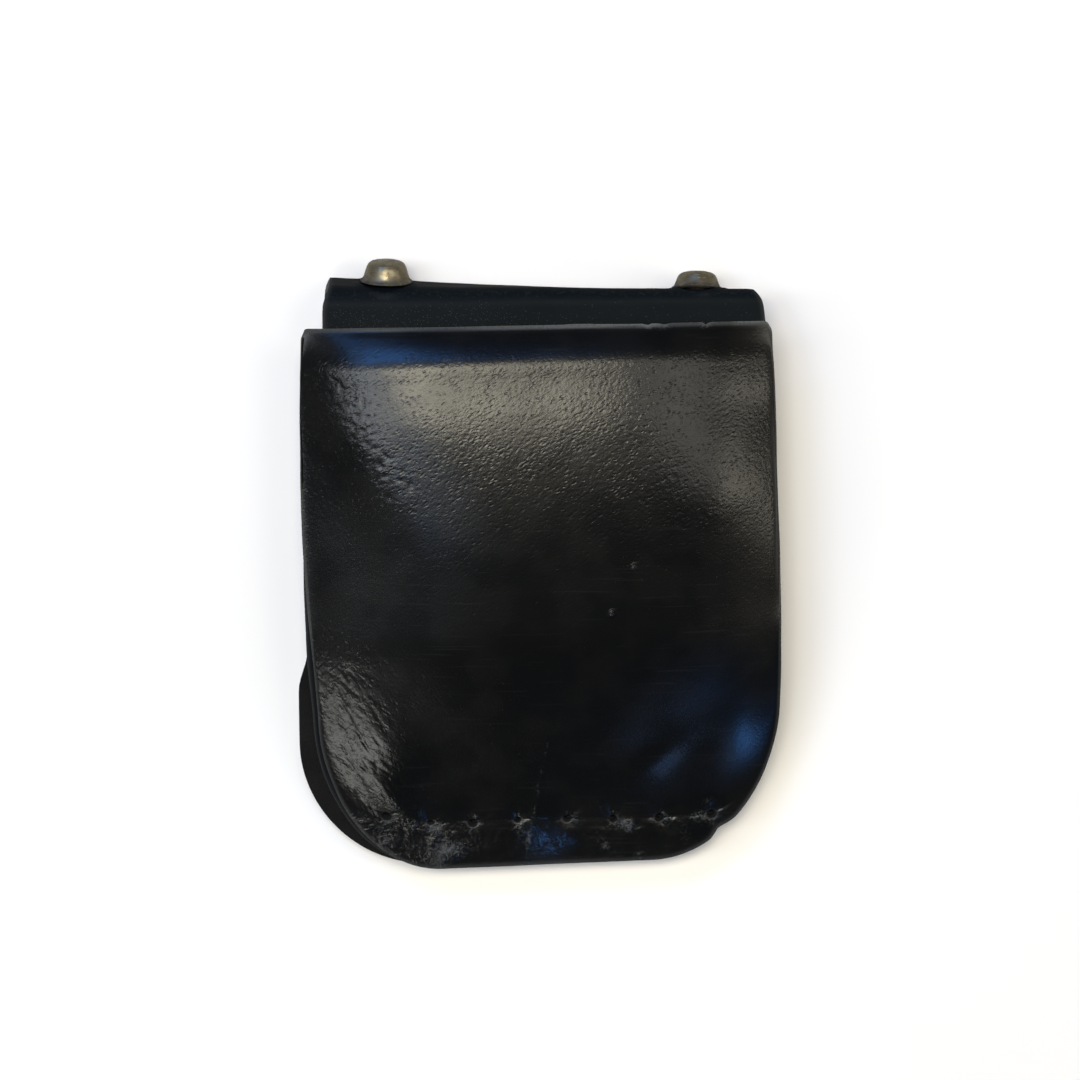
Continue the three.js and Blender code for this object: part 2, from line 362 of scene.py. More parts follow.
# grain, dust and wear, shared by the leathers and the metal
# a row of pits: degrees it leans, seed, size as a share of the cells
grainForm = dict(
    skinDeep=0.52, skinLean=34, skinStretch=1.4, pebbleDeep=0.12, pitDeep=0.36, pitStretch=1.7, pitWide=0.8,
    waver=0.7, crowding=(0.3, 0.7),
    rightPits=((38, 4.0, 0.8), (18, 9.0, 1.1)), leftPits=((-38, 6.0, 0.75), (-62, 13.0, 1.0)),
)


def makeGrain():
    # uneven skin with soft pebbles, and slanting pits that gather in places, as a height from 0 to 1
    # once with the pits leaning right and once with them leaning left
    tree, given, put = newGroup("leatherGrain", {"Cell size": 0.7}, ["Height", "Left height", "Patch"])
    place, scale = given["Vector"], calc(tree, "DIVIDE", 1.0, given["Cell size"])

    def cloud(share, detail):
        return cloudAt(tree, place, times(tree, scale, share), detail)

    def slanted(vector, degrees, seed, stretch):
        values = {"Vector": vector, "Location": (seed, seed, 0), "Rotation": (0, 0, math.radians(degrees)),
                  "Scale": (stretch, grainForm["pitWide"], 1.0)}
        return addNode(tree, "ShaderNodeMapping", values, vector_type="TEXTURE").outputs[0]

    bent = addNode(tree, "ShaderNodeVectorMath", {0: cloud(0.5, 1.0)["Color"], 1: (0.5, 0.5, 0.5)},
                   operation="SUBTRACT").outputs[0]
    waver = times(tree, given["Cell size"], grainForm["waver"])
    bent = addNode(tree, "ShaderNodeVectorMath", {0: bent, "Scale": waver}, operation="SCALE").outputs[0]
    where = addNode(tree, "ShaderNodeVectorMath", {0: place, 1: bent}).outputs[0]
    crowded = ramp(tree, cloud(0.14, 2.0)[0], 0.35, 0.65, *grainForm["crowding"])

    def pitted(rows):
        pits = 0.0
        for degrees, seed, share in rows:
            leaning = slanted(where, degrees, seed, grainForm["pitStretch"])
            cells = cellsAt(tree, leaning, times(tree, scale, share))
            chance = addNode(tree, "ShaderNodeSeparateColor", {"Color": cells["Color"]}).outputs
            shown = calc(tree, "LESS_THAN", chance[0], crowded)
            deep = times(tree, shown, ramp(tree, chance[1], 0, 1, 0.35, 1.0))
            pits = calc(tree, "MAXIMUM", times(tree, ramp(tree, cells["Distance"], 0.5, 0.12), deep), pits)
        return times(tree, minus(tree, 1.0, pits), grainForm["pitDeep"])

    pebbles = cellsAt(tree, where, times(tree, scale, 1.25))["Distance"]
    skinPlace = slanted(place, grainForm["skinLean"], 2.0, grainForm["skinStretch"])
    skin = cloudAt(tree, skinPlace, times(tree, scale, 0.8), 2.5)[0]
    plain = plus(tree, times(tree, ramp(tree, pebbles, 0.8, 0.1), grainForm["pebbleDeep"]),
                 times(tree, skin, grainForm["skinDeep"]))
    feed(tree, put["Height"], plus(tree, plain, pitted(grainForm["rightPits"])))
    feed(tree, put["Left height"], plus(tree, plain, pitted(grainForm["leftPits"])))
    feed(tree, put["Patch"], ramp(tree, cloud(0.08, 2.0)[0], 0.35, 0.65))
    return tree


def makeDust():
    tree, given, put = newGroup("dustSpecks", {"Spacing": 3.0, "Amount": 0.3, "Size": 0.12}, ["Mask"])
    specks = cellsAt(tree, given["Vector"], calc(tree, "DIVIDE", 1.0, given["Spacing"]))
    chance = addNode(tree, "ShaderNodeSeparateColor", {"Color": specks["Color"]}).outputs
    away = times(tree, specks["Distance"], given["Spacing"])
    reach = times(tree, given["Size"], plus(tree, chance[1], 0.4))  # no two specks of one size
    dot = ramp(tree, calc(tree, "DIVIDE", away, reach), 1.0, 0.6)
    shown = calc(tree, "LESS_THAN", chance[0], given["Amount"])
    feed(tree, put["Mask"], times(tree, dot, shown))
    return tree


def makeWear():
    # rubbed places: the given mask, broken up by uneven patches
    tree, given, put = newGroup("rubbedWear", {"Mask": 0.0, "Size": 1.5}, ["Mask"])
    patches = cloudAt(tree, given["Vector"], calc(tree, "DIVIDE", 1.0, given["Size"]), 3.0, 0.65)[0]
    raised = plus(tree, patches, times(tree, given["Mask"], 0.45))
    feed(tree, put["Mask"], times(tree, ramp(tree, raised, 0.62, 0.9), given["Mask"]))
    return tree


def makeScratches():
    # two sets of thin marks that run from side to side
    tree, given, put = newGroup("fineScratches", {"Amount": 0.5}, ["Mask"])
    marks = []
    for degrees, seed in ((72, 3.0), (-38, 11.0)):
        values = {"Vector": given["Vector"], "Location": (seed, seed, 0),
                  "Rotation": (0, 0, math.radians(degrees)), "Scale": (0.07, 2.4, 0.07)}
        drawn = addNode(tree, "ShaderNodeMapping", values).outputs[0]
        marks.append(ramp(tree, cloudAt(tree, drawn, 1.0, 1.0)[0], 0.7, 0.76))
    feed(tree, put["Mask"], times(tree, calc(tree, "MAXIMUM", *marks), given["Amount"]))
    return tree


grain, dust, wear, scratches = makeGrain(), makeDust(), makeWear(), makeScratches()


def newMaterial(name):
    material = bpy.data.materials.new(name)
    material.use_nodes = True
    tree = material.node_tree
    shader = next(node for node in tree.nodes if node.type == "BSDF_PRINCIPLED")
    place = addNode(tree, "ShaderNodeTexCoord").outputs["Object"]
    inMm = addNode(tree, "ShaderNodeVectorMath", {0: place, "Scale": 1 / mm}, operation="SCALE").outputs[0]
    return material, tree, shader, inMm


def readMask(tree, name):
    return addNode(tree, "ShaderNodeAttribute", attribute_name=name).outputs["Fac"]


def setShader(tree, shader, shade, rough, height, **plain):
    # height in millimetres, and the levels that are the same all over
    bump = addNode(tree, "ShaderNodeBump", {"Height": height, "Distance": mm, "Strength": 1.0}).outputs[0]
    for name, value in (("Base Color", shade), ("Roughness", rough), ("Normal", bump)):
        feed(tree, shader.inputs[name], value)
    if "shine" in plain:
        shader.inputs["Specular IOR Level"].default_value = plain["shine"]


# what the two leathers share, then what each one has of its own
leatherForm = dict(
    poreScale=2.4, creaseScale=1.2, creaseBend=0.5, wearSize=0.5, scratchDeep=0.02, wornRise=0.04,
    # the last colour here is shade painted into the stitch holes
    roughSpread=0.015, wornRough=0.2, dullRough=0.6, dustShare=0.8, paintedHoleShade=(0.0015, 0.0015, 0.0015, 1),
)
frontLook = dict(
    cell=0.64, grainDeep=0.02, liftDeep=0.075, poreDeep=0.006, rough=0.29, shine=0.36,
    crumpleDeep=0.5,
    black=(0.0022, 0.0023, 0.0024, 1), blackWarm=(0.0031, 0.0030, 0.0028, 1),
    # edge is the pale rim colour, rubbed wear and a painted highlight in one
    worn=(0.075, 0.077, 0.077, 1), wornShare=0.65, edge=(0.12, 0.12, 0.116, 1), scratch=0.06,
    dustSpacing=6.0, dustAmount=0.04, dustSize=0.16, dustColour=(0.16, 0.155, 0.15, 1),
)
strapLook = dict(
    cell=0.5, grainDeep=0.016, liftDeep=0.03, poreDeep=0.008, rough=0.54, shine=0.07,
    crumpleDeep=0.2,
    black=(0.0022, 0.0044, 0.0060, 1), blackWarm=(0.0029, 0.0048, 0.0060, 1),
    # edge is the pale rim colour, rubbed wear and a painted highlight in one
    worn=(0.05, 0.05, 0.05, 1), wornShare=0.6, edge=(0.07, 0.065, 0.06, 1), scratch=0.04,
    dustSpacing=0.3, dustAmount=0.002, dustSize=0.075, dustColour=(0.045, 0.046, 0.048, 1),
)


def leatherFinish(name, look):
    material, tree, shader, place = newMaterial(name)
    form = leatherForm
    pebbles = placeGroup(tree, grain, {"Vector": place, "Cell size": look["cell"]})
    pores = cloudAt(tree, place, form["poreScale"] / look["cell"], 1.0)[0]
    creases = cloudAt(tree, place, form["creaseScale"], 3.0, bend=form["creaseBend"])[0]
    rubbed = {"Vector": place, "Mask": readMask(tree, "scuff"), "Size": form["wearSize"]}
    worn = placeGroup(tree, wear, rubbed)["Mask"]
    lines = placeGroup(tree, scratches, {"Vector": place, "Amount": look["scratch"]})["Mask"]
    strewn = {"Vector": place, "Spacing": look["dustSpacing"], "Size": look["dustSize"],
              "Amount": plus(tree, look["dustAmount"], readMask(tree, "dusty"))}
    specks = placeGroup(tree, dust, strewn)["Mask"]
    lifted = look["grainDeep"] + look["liftDeep"]
    deep = ramp(tree, readMask(tree, "grainLift"), 0, 1, look["grainDeep"], lifted)
    leaning = readMask(tree, "leansLeft")
    height = plus(tree, times(tree, pebbles["Left height"], leaning),
                  times(tree, pebbles["Height"], minus(tree, 1.0, leaning)))
    height = plus(tree, times(tree, height, deep), times(tree, pores, look["poreDeep"]))
    crumpled = times(tree, creases, readMask(tree, "crumple"))
    height = plus(tree, height, times(tree, crumpled, look["crumpleDeep"]))
    height = minus(tree, height, times(tree, lines, form["scratchDeep"]))
    height = plus(tree, height, times(tree, worn, form["wornRise"]))
    shade = mixColour(tree, pebbles["Patch"], look["black"], look["blackWarm"])
    pale = times(tree, calc(tree, "MAXIMUM", worn, lines), look["wornShare"])
    shade = mixColour(tree, pale, shade, look["worn"])
    # pale rim: rubbed wear and a painted highlight along the cut edge
    edge = times(tree, readMask(tree, "edgeWearAndHighlight"), ramp(tree, pores, 0.3, 0.6, 0.6, 1.0))
    shade = mixColour(tree, edge, shade, look["edge"])
    shade = mixColour(tree, times(tree, specks, form["dustShare"]), shade, look["dustColour"])
    # stitch holes painted near-black as their shade
    shade = mixColour(tree, readMask(tree, "paintedHoleShade"), shade, form["paintedHoleShade"])
    spread = form["roughSpread"]
    rough = ramp(tree, pebbles["Patch"], 0, 1, look["rough"] - spread, look["rough"] + spread)
    rough = plus(tree, rough, times(tree, calc(tree, "MAXIMUM", worn, specks), form["wornRough"]))
    rough = calc(tree, "ADD", rough, times(tree, readMask(tree, "dull"), form["dullRough"]), clamp=True)
    setShader(tree, shader, shade, rough, height, shine=look["shine"])
    return material


# cut edge dyed black, paler along the rim where use has rubbed it and where a highlight is painted on
cutEdgeLook = dict(
    fibreScale=1.6, fibreStretch=(0.6, 0.6, 3.0), fibreDeep=0.08, rough=(0.7, 0.95), shine=0.2,
    # rubbed is the pale rim colour, part wear and part painted highlight
    dark=(0.004, 0.0038, 0.0036, 1), light=(0.014, 0.012, 0.0105, 1), rubbed=(0.17, 0.165, 0.155, 1),
)


def cutEdgeFinish(look):
    material, tree, shader, place = newMaterial("cutEdge")
    fibres = cloudAt(tree, stretchAt(tree, place, look["fibreStretch"]), look["fibreScale"], 6.0, 0.7)[0]
    shade = mixColour(tree, fibres, look["dark"], look["light"])
    # pale rim: rubbed wear and a painted highlight along the cut edge
    edge = times(tree, readMask(tree, "edgeWearAndHighlight"), ramp(tree, fibres, 0.3, 0.6, 0.5, 1.0))
    shade = mixColour(tree, edge, shade, look["rubbed"])
    rough = ramp(tree, fibres, 0.3, 0.7, *look["rough"])
    setShader(tree, shader, shade, rough, times(tree, fibres, look["fibreDeep"]), shine=look["shine"])
    return material


# napped inner side of the hide, dyed through
fleshLook = dict(
    napScale=2.2, napDeep=0.12, cloudScale=0.12, rough=(0.8, 1.0), shine=0.2,
    dark=(0.0042, 0.0038, 0.0036, 1), light=(0.0085, 0.0074, 0.0066, 1),
)


def fleshSideFinish(look):
    material, tree, shader, place = newMaterial("fleshSide")
    nap = cloudAt(tree, place, look["napScale"], 6.0, 0.75)[0]
    cloud = cloudAt(tree, place, look["cloudScale"], 3.0)[0]
    shade = mixColour(tree, ramp(tree, cloud, 0.3, 0.7), look["dark"], look["light"])
    rough = ramp(tree, nap, 0.2, 0.8, *look["rough"])
    setShader(tree, shader, shade, rough, times(tree, nap, look["napDeep"]), shine=look["shine"])
    return material


# plated rivet, dulled all over and brown with grime towards its rim
nickelLook = dict(
    tarnishScale=0.8, pitScale=4.5, pitDeep=0.02, scratchScale=(3.0, 3.0, 3.0), scratchDeep=0.01,
    scratchShare=0.4, plate=(0.205, 0.175, 0.112, 1), brown=(0.12, 0.098, 0.06, 1),
    scratch=(0.38, 0.34, 0.28, 1), grime=(0.030, 0.026, 0.022, 1),
    metal=0.6, grimeHides=0.45, rough=(0.22, 0.40), grimeRough=0.35,
)


def agedNickelFinish(look):
    material, tree, shader, place = newMaterial("agedNickel")
    tarnish = cloudAt(tree, place, look["tarnishScale"], 5.0, 0.6)[0]
    pits = cloudAt(tree, place, look["pitScale"], 3.0)[0]
    fine = stretchAt(tree, place, look["scratchScale"])
    lines = placeGroup(tree, scratches, {"Vector": fine, "Amount": 1.0})["Mask"]
    grime = ramp(tree, readMask(tree, "headShare"), 0.42, 0.05)
    grime = times(tree, grime, ramp(tree, tarnish, 0.2, 0.6, 0.35, 1.0))
    shade = mixColour(tree, ramp(tree, tarnish, 0.35, 0.7), look["plate"], look["brown"])
    shade = mixColour(tree, times(tree, lines, look["scratchShare"]), shade, look["scratch"])
    shade = mixColour(tree, grime, shade, look["grime"])
    metal = minus(tree, look["metal"], times(tree, grime, look["grimeHides"]))
    feed(tree, shader.inputs["Metallic"], metal)
    rough = ramp(tree, tarnish, 0.3, 0.75, *look["rough"])
    rough = plus(tree, rough, times(tree, grime, look["grimeRough"]))
    height = minus(tree, times(tree, pits, look["pitDeep"]), times(tree, lines, look["scratchDeep"]))
    setShader(tree, shader, shade, rough, height)
    return material


threadLook = dict(
    fibreScale=6.0, fibreDeep=0.05, rough=(0.75, 0.95), shine=0.1,
    dark=(0.002, 0.002, 0.002, 1), light=(0.008, 0.008, 0.0078, 1),
)


def waxedThreadFinish(look):
    material, tree, shader, place = newMaterial("waxedThread")
    fibres = cloudAt(tree, place, look["fibreScale"], 4.0)[0]
    shade = mixColour(tree, fibres, look["dark"], look["light"])
    rough = ramp(tree, fibres, 0.2, 0.8, *look["rough"])
    setShader(tree, shader, shade, rough, times(tree, fibres, look["fibreDeep"]), shine=look["shine"])
    return material


frontBlack = leatherFinish("frontBlack", frontLook)
strapBlack = leatherFinish("strapBlack", strapLook)
cutEdge, fleshSide = cutEdgeFinish(cutEdgeLook), fleshSideFinish(fleshLook)
agedNickel, waxedThread = agedNickelFinish(nickelLook), waxedThreadFinish(threadLook)
print("finishes made")

# front: side lines, how far its middle rises, its soft folds, and the finer marks of use
front = dict(
    columns=150, rows=172, margin=0.4, bend=1.5, shoulder=0.92, mouthTrim=9.0, foldRise=6.0,
    evenReach=7.0, evenFade=14.0, refine=1.7, pareEnd=1.1,
    leftCorner=dict(across=21.0, along=28.0), rightCorner=dict(across=21.5, along=28.0),
    mouthCorner=dict(across=2.0, along=2.0), rimRound=0.5, lipDrop=1.1,
    sections=[
        dict(y=-50.4, left=-37.9, right=41.3, rise=0, leftRound=2.3, rightRound=2.3),
        dict(y=-42, left=-37.9, right=41.3, rise=0, leftRound=2.3, rightRound=2.3),
        dict(y=-36, left=-37.9, right=41.4, rise=2.2, leftRound=2.3, rightRound=2.3),
        dict(y=-24, left=-38.3, right=41.5, rise=6.4, leftRound=2.4, rightRound=2.4),
        dict(y=-8, left=-39.6, right=41.3, rise=9.6, leftRound=2.5, rightRound=2.5),
        dict(y=8, left=-40.7, right=40.8, rise=10.4, leftRound=2.6, rightRound=2.7),
        dict(y=20, left=-41, right=40.3, rise=10.2, leftRound=3, rightRound=2.9),
        dict(y=30, left=-41.1, right=39.9, rise=9.3, leftRound=4, rightRound=3.2),
        dict(y=36, left=-41, right=39.7, rise=8.2, leftRound=5, rightRound=3.4),
        dict(y=40, left=-40.8, right=39.4, rise=7, leftRound=5, rightRound=3.4),
        dict(y=43, left=-40.7, right=39.2, rise=5.5, leftRound=5, rightRound=3.4),
        dict(y=44.6, left=-40.6, right=39, rise=4.4, leftRound=5, rightRound=3.4),
    ],
    folds=[
        dict(x=-30, y=24, degrees=-58, length=15, width=4.5, height=0.9),  # upper left pull
        dict(x=-34, y=14, degrees=-70, length=16, width=5, height=-0.8),  # hollow beside it
        dict(x=-28, y=-27, degrees=50, length=12, width=6, height=1),  # lower left swell
        dict(x=31, y=14, degrees=80, length=14, width=6, height=0.9),  # right swell
        dict(x=24, y=-30, degrees=-35, length=10, width=5, height=-0.8),  # lower right dent
    ],
    swells=[
        dict(x=-26.1, y=-28.5, degrees=-66, length=17, width=5.2, height=0.9),  # lower left roll
        dict(x=-26.5, y=-34.8, degrees=-50, length=6, width=3, height=1.0),  # pucker at its foot
        dict(x=33, y=-25.5, degrees=70, length=9, width=4.5, height=0.5),  # lower right roll
        dict(x=19, y=-31, degrees=38, length=8, width=2.6, height=0.45),  # short fold beside it
        dict(x=0, y=38.2, degrees=1, length=45, width=2.1, height=0.28),  # roll under the mouth
        dict(x=37, y=35, degrees=1, length=11, width=3.6, height=0.35),  # and at its right end
        dict(x=4, y=-8, degrees=0, length=26, width=16, height=-1.2),  # slack middle
        dict(x=31, y=17, degrees=90, length=13, width=14, height=1.4),  # right side
        dict(x=38, y=4, degrees=90, length=10, width=9, height=0.7),  # and below it
    ],
    ripples=[(0.06, 12, 2.5), (0.02, 4.2, 7.5)], lipRipples=[(0.12, 2.6, 5.5), (0.05, 1.1, 9.5)],
    pullLine=((-35.1, 37.0), (-23.5, 17.0)),
    wrinkles=[
        dict(line=((-34.5, -13.0), (-26.0, -36.5)), spread=2.8, count=150, seed=11, degrees=-48, turn=14,
             length=(0.7, 2.2), width=(0.22, 0.36), height=(-0.08, -0.02)),  # lower left
        dict(line=((-35.1, 37.0), (-23.5, 17.0)), spread=1.5, count=110, seed=5, degrees=-50, turn=35,
             length=(0.35, 0.9), width=(0.22, 0.34), height=(-0.09, -0.03)),  # pull at the upper left
        dict(line=((-26.0, -44.5), (-10.0, -46.5)), spread=1.7, count=60, seed=23, degrees=88, turn=24,
             length=(0.5, 1.8), width=(0.25, 0.45), height=(-0.16, 0.16)),  # crumpled lip
        dict(line=((8.0, -45.0), (28.0, -43.0)), spread=1.6, count=30, seed=31, degrees=8, turn=26,
             length=(0.6, 2.0), width=(0.25, 0.45), height=(-0.12, 0.12)),
    ],
    scratch=[(0.9, -26.1), (-0.3, -33.5), (-1.0, -40.0), (-2.6, -49.7)], scratchRise=0.05, scratchWide=0.35,
    scuffs=[
        dict(x=-28.5, y=-36.6, size=2.2, much=0.6), dict(x=-25.2, y=-37.7, size=1.1, much=0.9),
        dict(x=-11.4, y=-40.2, size=0.9, much=1.0), dict(x=-18.4, y=-42.9, size=1.5, much=0.8),
        dict(x=-17.5, y=-47.0, size=2.4, much=1.0), dict(x=-14.0, y=-46.8, size=1.6, much=0.8),
        dict(x=-27.0, y=-44.7, size=1.4, much=0.7), dict(x=-22.4, y=-41.6, size=1.3, much=0.7),
        dict(x=15.5, y=-43.9, size=1.2, much=1.0), dict(x=10.4, y=-38.7, size=1.5, much=0.5),
        dict(x=28.2, y=-42.6, size=1.6, much=0.8), dict(x=29.4, y=-39.5, size=1.0, much=0.9),
        dict(x=11.8, y=-47.5, size=0.8, much=0.9), dict(x=17.7, y=-49.6, size=1.0, much=0.9),
        dict(x=-3.5, y=-43.1, size=1.4, much=0.6), dict(x=11.2, y=-3.8, size=0.5, much=1.3),
        dict(x=14.8, y=4.0, size=0.45, much=1.2),
    ],
    nicks=[dict(x=17.4, deep=0.3, wide=0.4), dict(x=20.3, deep=0.22, wide=0.7),
           dict(x=27.2, deep=0.45, wide=0.4)],
    wear=dict(
        # holeShare sizes the shade painted into each stitch hole
        scuffed=0.5, scratched=0.5, scratchWide=0.3, mottled=0.3, nickReach=1.6, holeShare=0.85,
        topGrain=(-6, 25), liftLeft=0.6, liftRight=1.0, pullReach=2.6, liftBroken=0.8,
        creaseReach=6.5, liftCreased=1.8, liftMost=1.8, crumpleRight=0.12, crumpleLeft=0.48,
        # mouthLeft, mouthRight, mouthNicks and edgePale set the pale rim, rubbed wear and a painted highlight
        mouthLeft=0.35, mouthRight=0.9, mouthNicks=0.35, edgePale=0.2, edgeDull=0.4, dusty=0.1,
    ),
)


def frontSides(y):
    left = readTable(front["sections"], "left", y)
    return left, readTable(front["sections"], "right", y) - notchInset(y)


def frontColumn(column, y):
    # the sections' curve, evened out away from the seam and the mouth
    fade = front["evenFade"]
    reach = front["evenReach"] * ease(pouch["mouthY"] - y, 0, fade) * ease(y - pouch["seamY"], 0, fade)
    steps = (-1, -0.5, 0, 0.5, 1)
    return sum(readTable(front["sections"], column, y + step * reach) for step in steps) / len(steps)


def frontInside(x, y):
    # inner face of the front over any point of the pouch
    held = np.clip(y, pouch["lipY"], pouch["mouthY"])
    left, right = frontSides(held)
    left = left + cornerInset(front["leftCorner"], held - pouch["lipY"])
    right = right - cornerInset(front["rightCorner"], held - pouch["lipY"])
    inset = np.maximum(np.minimum(x - left, right - x) - front["margin"], 0)
    climb = np.hypot(inset, front["bend"]) - front["bend"]
    share = np.clip(2 * climb / (front["shoulder"] * (right - left)), 0, 1)
    power = np.where(x - left < right - x, frontColumn("leftRound", y), frontColumn("rightRound", y))
    across = 1 - (1 - share) ** power
    rise = frontColumn("rise", y)
    swell = sum(oval(x, y, fold) for fold in front["folds"])
    return backTop(y) + pouch["gap"] + across * (rise + swell * ease(rise, 0, front["foldRise"]))


def frontSkin(x, y, relief):
    # inner face, and outer face with its relief, both with the lines slanted and the mouth drawn straight
    climbX = (frontInside(x + slopeStep, y) - frontInside(x - slopeStep, y)) / (2 * slopeStep)
    climbY = (frontInside(x, y + slopeStep) - frontInside(x, y - slopeStep)) / (2 * slopeStep)
    out = np.column_stack([-climbX, -climbY, np.ones_like(x)])
    out /= np.linalg.norm(out, axis=1)[:, None]
    length = pouch["mouthY"] - pouch["lipY"]
    slant = x * mix(pouch["lipSlope"], pouch["mouthSlope"], (y - pouch["lipY"]) / length)
    trim = pouch["thick"] * out[:, 1] * ease(y, pouch["mouthY"] - front["mouthTrim"], pouch["mouthY"])
    inner = np.column_stack([x, y + slant - trim, frontInside(x, y)])
    return inner, inner + out * (pouch["thick"] + relief)[:, None]


def scatterWrinkles(zone):
    # short creases strewn along a line
    draw = random.Random(zone["seed"])
    start, end = zone["line"]
    spots = []
    for index in range(zone["count"]):
        share, off = draw.random(), draw.gauss(0, zone["spread"])
        tall = draw.uniform(*zone["height"])
        spots.append(dict(x=mix(start[0], end[0], share) + off, y=mix(start[1], end[1], share) + 0.5 * off,
                          degrees=zone["degrees"] + draw.gauss(0, zone["turn"]), height=tall,
                          length=draw.uniform(*zone["length"]), width=draw.uniform(*zone["width"])))
    return spots


# pulled thread: swells between the holes, press marks under the stitches, dimples and pleats at the holes
seam = dict(
    fade=3.0, swellAway=2.2, swellAbove=(0.14, 1.8), swellBelow=(0.04, 1.7), pressDeep=0.07, pressWide=0.4,
    pressEnd=0.3, holeDeep=1.1, holeShare=0.6, dimpleDeep=0.3, dimpleWide=1.5,
    pleats=(90, 40, 140, -70), pleatTurn=18, pleatReach=(1.4, 2.4), pleatLength=(0.9, 1.8), pleatWide=0.34,
    pleatHeights=(-0.16, -0.1, 0.12), seed=17,
)


def seamRelief(x, y):
    off = y - seamLine(x)
    first, last = holes[0]["x"], holes[-1]["x"]
    inside = ease(x, first - seam["fade"], first) * ease(x, last + seam["fade"], last)
    relief = 0
    for hand, (rise, width) in ((-1, seam["swellAbove"]), (1, seam["swellBelow"])):
        relief = relief + rise * inside * seamSwell(x) * bell(off + hand * seam["swellAway"], width)
    soft = seam["pressEnd"]
    for start, end in zip(holes[::2], holes[1::2]):
        pressed = ease(x, start["x"] - soft, start["x"] + soft) * ease(x, end["x"] + soft, end["x"] - soft)
        relief = relief - seam["pressDeep"] * pressed * bell(off, seam["pressWide"])
    draw = random.Random(seam["seed"])
    for hole in holes:
        away = np.hypot(x - hole["x"], y - hole["y"])
        relief = relief - seam["holeDeep"] * bell(away, seam["holeShare"] * hole["size"], 4)
        relief = relief - seam["dimpleDeep"] * bell(away, seam["dimpleWide"])
        for side in seam["pleats"]:
            degrees = side + draw.gauss(0, seam["pleatTurn"])
            reach, length = draw.uniform(*seam["pleatReach"]), draw.uniform(*seam["pleatLength"])
            angle, tall = math.radians(degrees), draw.choice(seam["pleatHeights"])
            relief = relief + oval(x, y, dict(
                x=hole["x"] + reach * math.cos(angle), y=hole["y"] + reach * math.sin(angle),
                degrees=degrees, length=length, width=seam["pleatWide"], height=tall))
    return relief


def nearScratch(x, y):
    stretches = zip(front["scratch"], front["scratch"][1:])
    return np.min([nearLine(x, y, stretch) for stretch in stretches], axis=0)


def frontRelief(x, y, rim):
    lip = ease(y, pouch["seamY"] + 1, pouch["seamY"] - 2)
    soft = ripple(x, y, front["ripples"]) + lip * ripple(x, y, front["lipRipples"])
    swell = sum(oval(x, y, spot) for spot in front["swells"])
    fine = seamRelief(x, y) + front["scratchRise"] * bell(nearScratch(x, y), front["scratchWide"])
    for zone in front["wrinkles"]:
        fine = fine + sum(oval(x, y, spot) for spot in scatterWrinkles(zone))
    pared = front["lipDrop"] * ease(y, pouch["seamY"] + 1, pouch["lipY"] - front["pareEnd"])
    return soft * ease(rim, -1.0, 2.0) + swell * ease(rim, 0, 3.0) + fine * ease(rim, 0, 1.0) - pared


def handCut(x, y, rim, seed):
    # slight wander of a hand-cut edge
    near = bell(rim, 1.6)
    x = x + near * 0.14 * softNoise(x, y, 9.0, seed)
    return x, y + near * 0.1 * softNoise(x, y, 11.0, seed + 3)


def frontMasks(x, y, rim):
    # where the finish is rubbed, creased, pale, dull or dusty, with shade painted into the stitch holes and a
    # highlight painted along the pale rim
    low, high, nicks = pouch["lipY"], pouch["mouthY"], front["nicks"]
    worn = front["wear"]
    scuff = sum(s["much"] * bell(np.hypot(x - s["x"], y - s["y"]), s["size"]) for s in front["scuffs"])
    nearNick = sum(bell(x - nick["x"], worn["nickReach"]) for nick in nicks) * bell(y - high, 1.0)
    broken = bell(nearLine(x, y, front["pullLine"]), worn["pullReach"])
    creased = bell(nearLine(x, y, front["wrinkles"][0]["line"]), worn["creaseReach"])
    topGrain = ease(y + 3 * softNoise(x, y, 9, 3.4), *worn["topGrain"]) * ease(y, high - 2, high - 8)
    lift = mix(worn["liftLeft"], worn["liftRight"], ease(x, 6, 22)) * topGrain
    lift = lift + worn["liftCreased"] * creased + worn["liftBroken"] * broken
    # mask for the shade painted into each stitch hole
    paintedHoleShade = sum(bell(np.hypot(x - h["x"], y - h["y"]), worn["holeShare"] * h["size"], 4) for h in holes)
    sewn = ease(y, seamLine(x) + 2.5, seamLine(x) - 1.0)
    mottled = worn["mottled"] * sewn * ease(softNoise(x, y, 3.0, 4.2), -0.15, 0.4)
    crumple = mix(0.6, 1, ease(x, -8, -16)) * scuff
    crumple = crumple + sewn * mix(worn["crumpleRight"], worn["crumpleLeft"], ease(x, -8, -20))
    # rim paler with wear and a painted highlight, most along the mouth and towards its right end
    atRim = bell(rim, 0.5)
    alongMouth = ease(y, high - 2.5, high - 0.8)
    betweenNicks = ease(x, 18, 20) * ease(x, 33, 31)
    mouthPale = mix(worn["mouthLeft"], worn["mouthRight"], ease(x, -25, 15))
    mouthPale = mouthPale * mix(1, worn["mouthNicks"], betweenNicks)
    scratched = worn["scratched"] * bell(nearScratch(x, y), worn["scratchWide"])
    return dict(
        scuff=np.clip(worn["scuffed"] * scuff + mottled + nearNick + scratched, 0, 1),
        grainLift=np.clip(lift, 0, worn["liftMost"]),
        edgeWearAndHighlight=atRim * mix(worn["edgePale"], mouthPale, alongMouth),
        dull=np.clip(np.maximum(paintedHoleShade, atRim * mix(worn["edgeDull"], 1.0, alongMouth)), 0, 1),
        paintedHoleShade=np.clip(paintedHoleShade, 0, 1),
        crumple=np.clip(crumple, 0, 1),
        leansLeft=ease(y, 0, -10),
        dusty=worn["dusty"] * ease(y, pouch["seamY"] + 4, low),
    )


